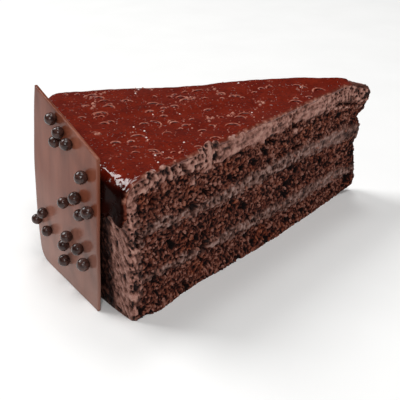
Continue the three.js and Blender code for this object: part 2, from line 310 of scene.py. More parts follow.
# %% Relief of crumb and cream
CRAG, LUMP, PORE, GRAIN = 4.5, 1.3, 1.05, 0.6  # widths in mm
noise.seed_set(5)  # without this noise_vector changes from run to run


def crumb_relief(point):
    """How far torn crumb stands out in mm, and how deep in a pore the point lies."""
    bent = point + 0.35 * noise.noise_vector(point / 0.7)
    crag = rough(point / CRAG, 2)
    lump = noise.noise(point / LUMP)
    grain = noise.noise(bent / GRAIN)
    pore = smooth(noise.voronoi(bent / PORE)[0][0], 0.52, 0.28)
    burst = smooth(noise.voronoi(bent / 5.5)[0][0], 0.26, 0.15)
    fine = 0.35 * lump + 0.25 * grain - 0.65 * pore - 1.5 * burst
    return 0.5 * crag + fine, smooth(fine, 0.34, -0.58)


def cream_relief(point, s, torn):
    """The same for cream: streaks drawn along the cut, pitted and ragged where it tore."""
    streak = noise_at(s / 6, point.z / 1.1, 4.2)
    tear = noise_at(s / 0.9, point.z / 1.9, 6.1)
    lump = rough(point / 1.9, 3)
    bubble = smooth(noise.voronoi(point / 1.3)[0][0], 0.42, 0.25) * torn
    relief = 0.2 * streak + lerp(0.15, 0.5, torn) * lump + 0.35 * torn * tear - 0.8 * bubble
    return relief, smooth(relief, lerp(0.25, 0.45, torn), lerp(-0.45, -0.7, torn))


crumb_heights = [crumb_relief(Vector((0.4 * step, 0, 20)))[0] for step in range(300)]
print(f"torn crumb from {min(crumb_heights):.1f} to {max(crumb_heights):.1f} mm")

# %% [markdown]
# ## What lies where on a cut
#
# On the cut face the cream is not a tidy stripe. The knife carries it up and down over the
# crumb, leaves it thin in places and tears holes next to it. A place on the cut is named by
# `s`, millimetres from the round side, and its height. Lists in steps of 10 mm give the
# middle and half width of each band of cream and how torn it is, from 0 for smooth to 1,
# and a few named smears and holes give the face its own character. Noise frays all their
# edges. At its foot the near cut spreads over the board by a millimetre or two.

# %% Bands, smears and holes of the cut
CUT_STEP = 10.0
BANDS = [  # height of the middle, and half width, of each filling on the cut
    (
        [12.6, 13.4, 13, 12.2, 11.8, 11.8, 11.4, 11.2, 11, 11, 11, 11, 11.2],
        [0.4, 1.2, 1.6, 1.4, 2, 2.3, 2.3, 2.1, 2.4, 2.6, 2.6, 2.1, 1.7],
    ),
    (
        [28.8, 29.4, 28.6, 27.5, 27.4, 27.8, 28.2, 28.6, 28.8, 28.6, 28.3, 28, 27.8],
        [0.4, 2.2, 1.8, 1.5, 2, 2.5, 2.6, 2.5, 2.4, 2.6, 2.8, 2.9, 2.9],
    ),
]
FROSTING_EDGE = [41, 42.3, 42, 41, 40.5, 41.4, 41, 41.4, 42.2, 40.8, 40.4, 41, 39.8]
SMEARS = [  # s, height, half length, half height
    (26.5, 38.6, 1.8, 2), (33, 40, 2.5, 1.3), (13, 29.6, 3.5, 1.8),
    (22.5, 27.6, 2.6, 0.9), (35, 28.2, 5, 1.3), (78.5, 38.4, 1.3, 1.6),
    (66, 12.2, 5, 1.6), (3, 20, 2.2, 12), (107.5, 40, 2.5, 0.7),
    (112.5, 39, 3, 0.9), (118, 38.2, 3, 0.8),
]
# Each hole is carved in and painted dark inside as painted shade.
HOLES = [  # s, height, half width, half height, depth
    (9.6, 37.6, 1.8, 1.4, 2.4), (11.5, 39.2, 1, 1, 1.8), (4.8, 36, 0.9, 1.2, 1.6),
    (3.2, 28.6, 1.3, 0.8, 1.8), (3.3, 25.9, 1, 0.9, 1.8), (8.4, 44.3, 0.8, 0.7, 1.3),
    (10.2, 46.2, 0.8, 0.6, 1.2), (18, 44.8, 0.9, 0.8, 1.4), (22.6, 43.6, 1, 1.8, 2.2),
    (26.2, 44.6, 0.9, 0.9, 1.6), (26.6, 41.6, 0.8, 0.7, 1.4), (36.6, 43.2, 1.6, 2, 1.2),
    (77.2, 43.6, 1.2, 2, 2.6), (65.5, 39, 2.2, 1.2, 2.2), (62, 40.2, 1.2, 0.8, 1.8),
    (26.5, 28.8, 1.9, 1.9, 2), (33, 32, 1.6, 1, 1.8), (37.5, 31.8, 1.2, 0.8, 1.6),
    (46.5, 32.6, 1.4, 0.9, 1.6), (60, 27.4, 1.1, 1, 1.8), (55.2, 28.3, 0.8, 0.7, 1.2),
    (72, 32.6, 3, 0.7, 1.6), (81, 32.3, 3.5, 0.7, 1.8), (91, 32, 2, 0.6, 1.4),
    (31.5, 17.6, 1.8, 1.5, 2), (24.2, 17.4, 1.2, 1.1, 1.6), (24.4, 21.6, 0.9, 0.8, 1.3),
    (16.6, 21.3, 1.1, 0.9, 1.4), (7.4, 17.4, 0.9, 1, 1.4), (31, 12.6, 1.9, 1.5, 2),
    (43.8, 21.2, 1.7, 1.2, 1.6), (76.5, 19.4, 3.6, 2, 1.4), (102, 18, 2.4, 1.2, 1.2),
    (9.8, 6.4, 1.1, 1, 1.5), (22.2, 2.8, 1.2, 0.8, 1.3), (40.8, 8.2, 1.3, 1.1, 1.5),
    (29, 9.4, 1.3, 0.9, 1.5), (73.5, 10.6, 1.3, 0.9, 1.5), (76.5, 9.4, 1, 0.9, 1.4),
    (84, 27.2, 1.5, 0.9, 1.5), (117, 8, 2.2, 1.3, 1.6), (107, 41.3, 4, 0.6, 1.1),
    (104.8, 42.6, 1.2, 0.6, 1.4), (113, 40.6, 2.6, 0.5, 1),
]
TORN_FROSTING = [0.2, 1, 1, 1, 0.15, 0.05, 0.05, 0.3, 0.1, 0.1, 0.3, 0.8, 1]
TORN_FILLING = [0.8, 0.7, 0.7, 0.8, 0.6, 0.6, 0.6, 0.6, 0.4, 0.3, 0.15, 0.15, 0.5]
FOOT_SPREAD = [0, 1.6, 0.6, 0.2, 1.1, 1.3, 1.4, 1.5, 1, 0.9, 0.3, 0, 0]
FROSTING_FROM = 38.0  # above this height cream on the cut is frosting
COAT_SHOWN = 3.6  # how much of the round side's coat shows on the cut
MIDDLE_SPONGE = 20.5  # height of its middle


def cut_share(s):
    return s / CUT_STEP / (len(FROSTING_EDGE) - 1)


def inside_oval(s, z, oval, fray):
    """1 in the middle of an oval and 0 outside, with a frayed edge."""
    if abs(s - oval[0]) > 1.6 * oval[2] or abs(z - oval[1]) > 1.6 * oval[3]:
        return 0.0
    off = hypot((s - oval[0]) / oval[2], (z - oval[1]) / oval[3])
    return smooth(off + fray, 1.1, 0.55)


def cream_cover(point, s):
    """How much cream covers the crumb, and how far it is frosting rather than filling."""
    z = point.z
    place = cut_share(s)
    fray = 1.3 * noise.noise(point / 2.4) + 1.6 * noise_at(s / 2.2, z / 0.9, 3.7)
    coat = max(z - along(FROSTING_EDGE, place), COAT_SHOWN - s - 2 * smooth(z, 9, 3)) + fray
    frosting_share = smooth(coat, -0.7, 0.7)
    cream = frosting_share
    for middle, half in BANDS:
        inside = along(half, place) - abs(z - along(middle, place)) + fray
        cream = max(cream, smooth(inside, -0.9, 0.9))
    for smear in SMEARS:
        cream = max(cream, inside_oval(s, z, smear, 0.5 * fray))
    return cream, max(frosting_share, smooth(z, FROSTING_FROM - 5, FROSTING_FROM))


def painted_shade_on_cut(s, z, cream):
    """Painted shade: a little darker at the tip, at the coat of the round side and in the middle sponge."""
    shade = 0.12 * smooth(s, 113, 121) + 0.12 * smooth(s, 5, 3) * smooth(z, 40, 36)
    return shade + 0.07 * smooth(abs(z - MIDDLE_SPONGE), 8, 5) * (1 - cream)


def cut_surface(point, s, side):
    """Relief in mm at a point of a cut, and its marks: pit with its painted shade, cream and pale."""
    cream, pale = cream_cover(point, s)
    torn = along(TORN_FROSTING if point.z > FROSTING_FROM else TORN_FILLING, cut_share(s))
    crumb, crumb_pit = crumb_relief(point)
    spread, spread_pit = cream_relief(point, s, torn)
    relief = lerp(crumb - 0.2, spread + 0.15, cream)
    pit = lerp(crumb_pit, spread_pit, cream)
    if side < 0:
        fray = 0.45 * noise.noise(point / 0.8)
        for hole in HOLES:
            inside = inside_oval(s, point.z, hole, fray)
            relief -= hole[4] * inside
            # painted shade: a hole is painted as dark as the deepest pore
            pit = max(pit, inside)
    relief *= lerp(0.45, 1, smooth(point.z, 0, 2))
    if side < 0:
        relief += along(FOOT_SPREAD, cut_share(s)) * smooth(point.z, 8, 0)
    # the painted shade of the tip, the coat and the middle sponge is added to pit
    return relief, (pit + painted_shade_on_cut(s, point.z, cream), cream, pale)


print(f"{len(HOLES)} holes and {len(SMEARS)} smears on the near cut")

# %% [markdown]
# ## Colours and nodes
#
# Colours are easiest to judge as the hex values of a picture, but Cycles mixes light in
# linear values, so one function turns hex into linear. A second small function adds a node,
# sets it and links it in one call, which keeps each material readable from top to bottom.
# Pattern sizes are given in millimetres: a texture's scale is how many fit in a metre. The
# Mix node has its sockets once for each kind of data, so the ones for colours have names
# here.

# %% Helpers for materials
def linear(hex_colour):
    """An sRGB hex colour as linear red, green, blue and alpha."""
    channels = [int(hex_colour[i : i + 2], 16) / 255 for i in (1, 3, 5)]
    return [c / 12.92 if c <= 0.04045 else ((c + 0.055) / 1.055) ** 2.4 for c in channels] + [1.0]


def per_metre(millimetres):
    return 1000.0 / millimetres


def add_node(tree, kind, inputs, output=0, stops=(), **settings):
    """Adds a node and gives back one of its outputs, the first unless another is named.

    Each input is a value, a hex colour or the output of another node, which is linked to
    it. The stops are the places and hex colours of a colour ramp.
    """
    node = tree.nodes.new("ShaderNode" + kind)
    for name, value in settings.items():
        setattr(node, name, value)
    for socket, value in inputs.items():
        if isinstance(value, bpy.types.NodeSocket):
            tree.links.new(value, node.inputs[socket])
        else:
            node.inputs[socket].default_value = linear(value) if isinstance(value, str) else value
    for index, (place, colour) in enumerate(stops):
        if index >= len(node.color_ramp.elements):
            node.color_ramp.elements.new(place)
        node.color_ramp.elements[index].position = place
        node.color_ramp.elements[index].color = linear(colour)
    return node.outputs[output] if node.outputs else None


MIX = {"kind": "Mix", "output": 2, "data_type": "RGBA"}
MULTIPLY = dict(MIX, blend_type="MULTIPLY")
FACTOR, FIRST, SECOND = 0, 6, 7  # the inputs of a Mix node that mixes colours


def new_material(name):
    """A material, what adds nodes to it, and its coordinates: the object's own, in metres."""
    material = bpy.data.materials.new(name)
    material.use_nodes = True
    material.node_tree.nodes.clear()
    add = partial(add_node, material.node_tree)
    return material, add, add("TexCoord", {}, "Object")


print("a middle grey, #808080, is", round(linear("#808080")[0], 3), "in linear light")

# %% [markdown]
# ## Baked chocolate sponge and whipped cream
#
# Sponge is baked foam: matte and reddish brown, with painted shade, almost black, in each
# pore. Whipped cream is fat with cocoa in it: greyer, lighter and with a soft sheen where
# the knife drew over it. On the cut both are found on every layer, so one function makes
# both finishes and the marks of each vertex say which shows. Depth sets a painted shade: a
# ramp runs from the crest of a grain to the bottom of a pore, with noise 0.85 mm wide and its
# finer octaves added to it. That is coarser than real crumb, and as fine as it can show. The
# pale crest of the crumb's ramp is partly a painted sheen of moist crumb.

# %% The cut material
# From crest to pore: the dark end of each ramp is painted shade, the crumb's pale end partly a painted
# sheen.
CRUMB_SHADES = ((0, "#95675a"), (0.2, "#754334"), (0.45, "#53271c"), (0.7, "#280d08"), (0.95, "#0c0201"))
FILLING_SHADES = ((0.0, "#a3857c"), (0.28, "#7a574d"), (0.55, "#4b2e26"), (0.88, "#170705"))
FROSTING_SHADES = ((0.0, "#bd9284"), (0.25, "#a67669"), (0.52, "#684035"), (0.85, "#160706"))
WARM_PATCHES = ((0.52, "#ffffff"), (0.68, "#ffdcbc"))


def cut_material(name):
    material, add, place = new_material(name)
    pit, cream, pale = [add("Attribute", {}, "Fac", attribute_name=mark) for mark in CUT_MARKS]
    grains = add("TexNoise", {"Vector": place, "Scale": per_metre(0.85), "Detail": 3, "Roughness": 0.75})
    patches = add("TexNoise", {"Vector": place, "Scale": per_metre(7), "Detail": 3})
    grain_depth = add(
        "MapRange",
        {"Value": grains, "From Min": 0.25, "From Max": 0.75, "To Min": -0.38, "To Max": 0.38},
    )
    depth = add("Math", {0: pit, 1: grain_depth}, operation="ADD")
    even_depth = add("Math", {0: grain_depth, 1: 0.6, 2: pit}, operation="MULTIPLY_ADD")

    # painted shade: the deeper the pit mark, the darker the colour
    crumb = add("ValToRGB", {"Fac": depth}, stops=CRUMB_SHADES)
    warm = add("ValToRGB", {"Fac": patches}, stops=WARM_PATCHES)
    filling = add("ValToRGB", {"Fac": even_depth}, stops=FILLING_SHADES)
    coat = add("ValToRGB", {"Fac": even_depth}, stops=FROSTING_SHADES)
    crumb = add(inputs={FACTOR: 1.0, FIRST: crumb, SECOND: warm}, **MULTIPLY)
    spread = add(inputs={FACTOR: pale, FIRST: filling, SECOND: coat}, **MIX)
    colour = add(inputs={FACTOR: cream, FIRST: crumb, SECOND: spread}, **MIX)
    matte = add("MapRange", {"Value": cream, "To Min": 0.8, "To Max": 0.55})
    bump = add("Bump", {"Height": grains, "Strength": 0.4, "Distance": 0.3 * MM})
    shader = add("BsdfPrincipled", {"Base Color": colour, "Roughness": matte, "IOR": 1.25, "Normal": bump})
    add("OutputMaterial", {"Surface": shader})
    return material


sponge = cut_material("baked chocolate sponge")
cream_filling = cut_material("whipped chocolate cream")
frosting = cut_material("whipped chocolate frosting")
print("materials:", sponge.name, "|", cream_filling.name, "|", frosting.name)

# %% [markdown]
# ## Sponges and fillings
#
# Each layer is one bent grid: its rows climb from the lower seam to the upper one, and one
# row more at each end is pulled in under the seam and then to a pole, so the body is
# closed. The tip crumbled when the slice was lifted, which is why it reaches out more at
# some heights. Only the cuts get relief, because the round side is buried in frosting.

# %% Build the five layers
POLE = Vector((-10, 0, 0))  # where the end rows of a body meet, in plan
TUCK = 1.5  # how far the end rows are pulled in


def at_pole(height):
    return Vector((POLE.x, POLE.y, height))


def layer_point(station, share, bottom, top):
    """A point on the wall of a layer before relief, with its direction out and r."""
    clean = ring_point(station, 0, CORE_RADIUS)[0]
    height = lerp(seam_height(bottom, clean.x, clean.y), seam_height(top, clean.x, clean.y), share)
    reach = along(TIP_REACH, height / CORE_HEIGHT)
    point, out, r = ring_point(station, reach, CORE_RADIUS)
    low, high = seam_height(bottom, point.x, point.y), seam_height(top, point.x, point.y)
    point.z = lerp(low, high, share)
    return point, out, r


def build_layer(name, bottom, top, material, slot):
    thickness = seam_height(top, 0, 0) - seam_height(bottom, 0, 0)
    rows = round(thickness / FINE)

    def place(column, row):
        station = LAYER_RING[column]
        share = min(max((row - 2) / rows, 0.0), 1.0)
        if row in (0, rows + 4):
            seam = bottom if row == 0 else top
            return at_pole(seam_height(seam, POLE.x, POLE.y)), CRUMB_MARK
        point, out, r = layer_point(station, share, bottom, top)
        if row in (1, rows + 3):
            return point - TUCK * out, CRUMB_MARK
        if station[0] == "arc":
            return point, CRUMB_MARK
        relief, marks = cut_surface(point, CAKE_RADIUS - r, station[2])
        return point + relief * out, marks

    body = bent_grid(len(LAYER_RING) - 1, rows + 4, place)
    close_ends(body)
    return finish_piece(name + "_torn", body, material, slot, name)


LAYERS = [
    ("sponge_bottom", "board", "lower_filling_bottom", sponge, "sponge"),
    ("filling_lower", "lower_filling_bottom", "lower_filling_top", cream_filling, "filling"),
    ("sponge_middle", "lower_filling_top", "upper_filling_bottom", sponge, "sponge"),
    ("filling_upper", "upper_filling_bottom", "upper_filling_top", cream_filling, "filling"),
    ("sponge_top", "upper_filling_top", "frosting_bottom", sponge, "sponge"),
]
for layer in LAYERS:
    build_layer(*layer)

# %% [markdown]
# ## Frosting
#
# The frosting is a slab on top and a curved wall round the outside. The wall was spread
# upwards with a palette knife, which leaves slanting ridges and torn pits. Both parts are
# made as bent grids of their own, and where they meet they follow the same surface. The
# wall is pressed flat behind the plaque, painted darker beside it as the plaque's painted
# shadow, and darker under the edge of the glaze that ran down, so the plaque's place and
# that edge are worked out first.

# %% Where the plaque leans
PLAQUE_THICKNESS = 1.0
PLAQUE_TURN = radians(9.6)  # from facing -X towards the near cut
PLAQUE_LEAN = radians(4.6)
PLAQUE_PLACE = (-61.3, -29.4)  # the foot of its short side
PLAQUE_GAP = 0.3  # between its back and the coat


def plaque_frame():
    """Directions along the foot, up the face and out of the plaque, and its near foot."""
    right = Vector((sin(PLAQUE_TURN), -cos(PLAQUE_TURN), 0))
    level = Vector((-cos(PLAQUE_TURN), -sin(PLAQUE_TURN), 0))
    up = Vector((0, 0, cos(PLAQUE_LEAN))) - sin(PLAQUE_LEAN) * level
    foot = Vector((*PLAQUE_PLACE, PLAQUE_THICKNESS * sin(PLAQUE_LEAN)))
    return right, up, right.cross(up), foot


PLAQUE_RIGHT, PLAQUE_UP, PLAQUE_OUT, PLAQUE_FOOT = plaque_frame()
PLAQUE_BACK = PLAQUE_FOOT - (PLAQUE_THICKNESS + PLAQUE_GAP) * PLAQUE_OUT
print("the plaque faces", [round(c, 2) for c in PLAQUE_OUT])


# %% Relief of the frosting coat
def pressed(point, depth=0.0):
    """The coat is pressed flat where the plaque leans on it."""
    proud = (point - PLAQUE_BACK).dot(PLAQUE_OUT) + depth
    return point - max(proud, 0) * PLAQUE_OUT


FAR_RISE = [1.8, 2.0, 0.9, 1.3, 1.4, 1.0]  # at the far cut, in steps from the rim to the tip
FAR_STEP = 0.97  # what the soft step across the top has reached just inside the far cut


def top_rise(point):
    """The top is a little higher towards the tip and the far cut."""
    r = TIP_X - point.x
    lengthwise = smooth(point.x, RIM_X, TIP_X - 25) * smooth(r, -14, 8)
    across = point.y / max(half_width(r, FROSTING_REACH), 1)
    far_rise = along(FAR_RISE, rim_to_tip(point.x)) * smooth(across, -0.7, 1.1) / FAR_STEP
    return 2.2 * lengthwise * lerp(0.45, 1, smooth(point.y, -12, 14)) + far_rise - 1


def side_relief(round_length, z):
    """Knife streaks on the round side, leaning from the vertical, and the pits between."""
    across = 0.86 * round_length - 0.5 * z
    upwards = 0.5 * round_length + 0.86 * z
    streak = rough(Vector((across / 0.8, upwards / 3.5, 1.0)), 3)
    lump = rough(Vector((round_length / 1.4, z / 2.0, 8.0)), 4)
    hollow = smooth(0.9 * streak + lump, -0.45, -0.85)
    relief = 0.3 * streak + 0.3 * lump - 0.5 * hollow
    # the second value is painted shade: darker where the relief is low and in the hollows
    return relief, 0.15 + 0.55 * smooth(relief, 0.35, -0.35) + 0.35 * hollow


side_heights = [side_relief(0.2 * step, 20)[0] for step in range(300)]
print(f"round side from {min(side_heights):.1f} to {max(side_heights):.1f} mm")

# %% Build the wall of frosting
WALL_HEIGHT = 41.0
WALL_STEP = 0.4  # between its rows
CORNER = 1.4  # the cut and the round side share their relief this far from the corner
DRIP_HEIGHT = 31.0
DRIP_WAVE = 3.0
# DARK_FROM and DARK_TO bound the plaque's painted shadow on the wall
DARK_FROM, DARK_TO = -32.8, 17.0  # the dark stretch of the wall, in mm from its middle


def drip_edge(v):
    """Height at which the glaze that ran down the round side ends."""
    wave = DRIP_WAVE * cos(4 * (v + 1)) + 2.2 * noise_at(v * 9, 5.5, 0)
    return DRIP_HEIGHT + wave + 1.8 * noise_at(v * 28, 2.5, 0)


def wall_ring():
    """Once round the wall: outer face, far end, inner face and near end as (r, v)."""
    outer = [(CAKE_RADIUS, -1 + 2 * i / 240) for i in range(240)]
    far = [(CAKE_RADIUS - COAT * i / 8, 1) for i in range(8)]
    inner = [(CORE_RADIUS, 1 - 2 * i / 12) for i in range(12)]
    near = [(CORE_RADIUS + COAT * i / 12, -1) for i in range(13)]
    return outer + far + inner + near


def wall_marks(v, z, relief, pit):
    """Marks of the round side: the plaque's painted shadow beside it, and darker just under the glaze."""
    length = v * ARC_LENGTH + 3.0 * relief
    # painted shadow of the plaque, on the wall beside it
    plaque_shadow = smooth(length, DARK_FROM, DARK_FROM + 3.2) * smooth(length, DARK_TO, DARK_TO - 4)
    under_drip = smooth(z + 4 * relief, drip_edge(v) - 3, drip_edge(v))
    return pit - 0.06 + max(0.5 * plaque_shadow, 0.25 * under_drip), 1.0, 0.6


def corner_shares(r, v):
    """How much of the cut's and of the round side's relief a point of the coat takes."""
    from_corner = (1 - abs(v)) * ARC_LENGTH
    on_cut = 1.0 if abs(v) == 1 else smooth(from_corner, CORNER, 0)
    on_side = smooth(CAKE_RADIUS - r, CORNER, 0)
    return on_cut, on_side


def wall_place(column, row):
    r, v = WALL_RING[column]
    base = plan(r, v, FROSTING_REACH)
    base.z = WALL_HEIGHT * row / WALL_ROWS
    if r == CORE_RADIUS and abs(v) < 1:
        return base, FROSTING_MARK
    on_cut, on_side = corner_shares(r, v)
    side = 1 if v > 0 else -1
    cut, cut_marks = cut_surface(base, CAKE_RADIUS - r, side) if on_cut else (0.0, FROSTING_MARK)
    relief, side_pit = side_relief(v * ARC_LENGTH, base.z)
    relief *= smooth(base.z, 0, 2) * smooth(base.z, 40, 34)
    side_marks = wall_marks(v, base.z, relief, side_pit)
    rounding = 0.5 * on_cut * on_side
    point = base + on_cut * (cut - rounding) * CUT_OUT[side] + on_side * (relief - rounding) * outwards(v)
    point = pressed(point, PLAQUE_GAP)
    point.z = max(point.z, 0)
    return point, [lerp(rounded, cut_mark, on_cut) for rounded, cut_mark in zip(side_marks, cut_marks)]


WALL_RING = wall_ring()
WALL_ROWS = round(WALL_HEIGHT / WALL_STEP)
wall = bent_grid(len(WALL_RING) - 1, WALL_ROWS, wall_place)
close_ends(wall)
finish_piece("frosting_wall", wall, frosting, "frosting", "frosting")

# %% [markdown]
# The slab's edge was dragged by the knife: at a few places along the near cut the frosting
# was pushed up in peaks and lies over the glaze. The rows of its wall are set by the
# quarter circle of the rim, so the corner of the cut shows the rim's rounding. The rows
# after that run inwards along the top, far enough to model the peaks.

# %% Build the slab of frosting
PEAKS = [  # s, height above the level of the top, half length
    (9.5, 2.2, 3.2), (15, 1.6, 3), (19.5, 0.9, 2), (31, 2.2, 2.4),
    (34.2, 3.2, 3), (37.2, 2.2, 1.8), (44.5, 1.6, 2), (49.5, 1, 2.4),
    (59, 0.7, 5), (84, 0.6, 4), (96, 0.8, 5), (113, 0.5, 5),
]
SLAB_ROWS = 28
TOP_ROWS = 14
TOP_INSET = 0.4
SLAB_OUTLINE = dict(OUTLINE, cut=TOP_RADIUS - TIP_START)
SLAB_RING = stations(SLAB_OUTLINE, outline_steps(FINE, COARSE, 0.6))


def peak_height(s, side):
    if side > 0:
        return 0.5 * max(noise_at(s / 5, 3.3, 0), 0)
    jag = 1 + 0.4 * noise_at(s / 0.9, 1.1, 0)
    return max(height * jag * smooth(abs(s - middle), half, 0) for middle, height, half in PEAKS)


def droop(r):
    return FROSTING_DROOP * smooth(r, TIP_START, TIP_ROUNDING * 0.25 - FROSTING_REACH) ** 1.5


def slab_end(row):
    """The poles that close the slab below and above."""
    low = seam_height("frosting_bottom", POLE.x, POLE.y)
    return at_pole(low if row == 0 else FROSTING_TOP + top_rise(POLE) - 0.3), FROSTING_MARK


def slab_place(column, row):
    if row in (0, SLAB_ROWS + TOP_ROWS + 2):
        return slab_end(row)
    station = SLAB_RING[column]
    on_arc, side = station[0] == "arc", station[2]
    turn = min(row / SLAB_ROWS, 1.0) * pi / 2
    share = sin(min((row - 1) / SLAB_ROWS, 1.0) * pi / 2)
    reach = lerp(FROSTING_LOW_REACH, FROSTING_REACH, share)
    base, out, r = ring_point(station, reach, TOP_RADIUS + RIM_ROUNDING * cos(turn))
    s = CAKE_RADIUS - r
    inset = max(row - 1 - SLAB_ROWS, 0)
    fold = smooth(inset, 9, 1)
    peak = 0.0 if on_arc else peak_height(s, side)
    ceiling = FROSTING_TOP + top_rise(base) - droop(r) - 0.15
    low = WALL_HEIGHT - 0.6 if on_arc else seam_height("frosting_bottom", base.x, base.y) - 0.2
    base.z = lerp(low, ceiling + peak * fold, share)
    if on_arc:
        return pressed(base - (0.2 + TOP_INSET * inset) * out, GLAZE), FROSTING_MARK
    relief, (pit, cream, pale) = cut_surface(base, s, side)
    rounding = 0.5 * smooth(base.z, ceiling + peak - 1.5, ceiling + peak)
    inward = min(TOP_INSET * inset, 0.9 * max(half_width(r, reach), 0.4))
    point = base + (relief * (1 - smooth(inset, 0, 4)) - rounding - inward) * out
    if inset:
        lump = rough(point / 2.2, 3)
        point.z += (0.8 * lump - 0.2) * peak * 0.5 * fold
    # painted shade: the top of the slab is darker towards the tip
    top_pit = lerp(0.3, 0.55, smooth(s, 100, 116))
    return point, (lerp(pit, top_pit, smooth(inset, 0, 3)), cream, pale)


slab = bent_grid(len(SLAB_RING) - 1, SLAB_ROWS + TOP_ROWS + 2, slab_place)
close_ends(slab)
finish_piece("frosting_slab", slab, frosting, "frosting", "frosting")

# %% [markdown]
# ## Poured glaze
#
# The glaze was poured warm over the chilled cake, ran over the rim and stopped part of the
# way down the side in a soft wavy edge. Its sheet is one more bent grid: each row is a ring
# round the sheet's cross section, and the rows climb the side, turn over the rim and run
# along the top. The mark `shadow` is 1 where the glaze ran down the side, and there it is
# painted almost black as painted shade. `edge` is 1 where the knife dragged it to a thin
# film along the cut, painted pale, which is partly a painted highlight of the cut edge.

# %% The path of the glaze
GLAZE_END = 4.6  # the glaze stops this far before the tip
RIM_ARC = RIM_ROUNDING * pi / 2
SIDE_STEPS, RIM_STEPS, GLAZE_TOP_STEPS = 30, 26, 200  # rows
ACROSS, EDGE, UNDER = 170, 4, 24  # faces across the top face, an edge and the underside
GLAZE_MARKS = ("shadow", "edge")


def glaze_rows():
    """Rows from the drip edge up, over the rim and along the top: stage and share."""
    rows = [("side", i / SIDE_STEPS) for i in range(SIDE_STEPS)]
    rows += [("rim", i / RIM_STEPS) for i in range(RIM_STEPS)]
    return rows + [("top", i / GLAZE_TOP_STEPS) for i in range(GLAZE_TOP_STEPS + 1)]


def glaze_ring():
    """Once round a row: top face, far edge, underside and near edge, as (v, cover)."""
    ring = [(-1 + 2 * i / ACROSS, 1.0) for i in range(ACROSS)]
    ring += [(1.0, 1 - i / EDGE) for i in range(EDGE)]
    ring += [(1 - 2 * i / UNDER, 0.0) for i in range(UNDER)]
    return ring + [(-1.0, i / EDGE) for i in range(EDGE + 1)]


def glaze_path(stage, share, v):
    """Radius, turn over the rim, height, and length along the glaze when laid out flat."""
    if stage == "side":
        z = lerp(drip_edge(v), RIM_FOOT, share)
        return CAKE_RADIUS, 0.0, z, TOP_RADIUS + RIM_ARC + RIM_FOOT - z
    if stage == "rim":
        turn = share * pi / 2
        z = RIM_FOOT + RIM_ROUNDING * sin(turn)
        return TOP_RADIUS + RIM_ROUNDING * cos(turn), turn, z, TOP_RADIUS + RIM_ARC - RIM_ROUNDING * turn
    r = lerp(TOP_RADIUS, GLAZE_END, share)
    return r, pi / 2, FROSTING_TOP, r


GLAZE_ROWS = glaze_rows()
GLAZE_RING = glaze_ring()
print(f"the glaze ends {drip_edge(-1):.0f} mm above the board at the near corner")


# %% Build the glaze
def glaze_wave(flat):
    """Long low waves of the poured glaze, at a point of it laid out flat."""
    return 0.35 * rough(flat / 11, 2)


def glaze_pulled(stage, flat, s, z, side):
    """How far the knife pulled the edge of the glaze in from the cut."""
    pulled = 0.25 + 0.3 * noise.noise(flat / 1.7)
    if side < 0:
        pulled += 0.55 * peak_height(s, side)
    if stage == "side":
        ragged = 0.6 + 2.2 * noise_at(z / 2.6, side * 5, 7.7)
        pulled += max(ragged, 0) * smooth(z, RIM_FOOT, RIM_FOOT - 4)
    return pulled


def glaze_thickness(stage, share, from_edge):
    """The sheet rounds off where it ends and thins at its edges."""
    rounded = 1.0
    if stage == "side":
        rounded = sqrt(min(share * SIDE_STEPS / 5 + 0.05, 1))
    if stage == "top":
        rounded = sqrt(min((1 - share) * GLAZE_TOP_STEPS / 10 + 0.02, 1))
    return GLAZE * rounded * lerp(0.5, 1, smooth(from_edge, 0, 0.9))


def glaze_place(column, row):
    stage, share = GLAZE_ROWS[row]
    v, cover = GLAZE_RING[column]
    r, turn, z, laid_out = glaze_path(stage, share, v)
    angle = v * HALF_ANGLE
    flat = Vector((laid_out * cos(angle), laid_out * sin(angle), 0))
    width = half_width(r, FROSTING_REACH)
    pulled = glaze_pulled(stage, flat, CAKE_RADIUS - r, z, 1 if v > 0 else -1)
    edge = 1 - min(pulled, 0.8 * width) / width
    inner = v * edge if abs(v) > 0.5 else v * lerp(1, edge, abs(v) * 2)
    base = plan(r, inner, FROSTING_REACH)
    from_edge = (1 - abs(v)) * width
    beyond_top = smooth(laid_out, TOP_RADIUS - 1, TOP_RADIUS + 5)
    ripple = 0.22 * beyond_top * rough(flat / 1.3, 3)
    lift = cover * (glaze_thickness(stage, share, from_edge) + glaze_wave(flat) + ripple)
    rise = (top_rise(base) - droop(r)) * sin(turn)
    point = base + lift * cos(turn) * outwards(inner)
    point.z = z + lift * sin(turn) + rise
    # painted shade: through this mark the side of the glaze is painted almost black
    shadow = smooth(turn, radians(66), radians(28))
    # a thin film at the cut, painted pale, partly a painted highlight of the cut edge
    film_and_highlight = smooth(from_edge + 0.5 * noise.noise(flat / 0.9), 0.4 + 0.6 * sin(turn), 0.0)
    return pressed(point), (shadow, film_and_highlight)


glaze_sheet = bent_grid(len(GLAZE_RING) - 1, len(GLAZE_ROWS) - 1, glaze_place, GLAZE_MARKS)
close_ends(glaze_sheet)
print(f"{len(GLAZE_ROWS)} rows of {len(GLAZE_RING) - 1} faces")

# %% [markdown]
# Air that was stirred into the glaze rose while it set. A crescent is the far rim of a
# bubble that burst: a low half ring, painted pale outside as a painted highlight and dark
# inside as a painted shade. It is made as a slim, flat ball, bent round an arc and sunk to
# its middle in the glaze. The ball has few faces, since there are dozens of them. Bubbles
# are small domes, single or in patches of foam. All of them are one mesh of their own,
# because an operator that adds a ball takes longer the larger the mesh already is. The
# mark `rim` says how pale a vertex is: dark for the painted shade inside a crescent, plain
# where a crescent ends, pale for a crescent's painted highlight and for the air in a bubble,
# and near white for a painted glint on a bubble.

# %% Crescents and bubbles
CRESCENTS = 85
BUBBLES = 380
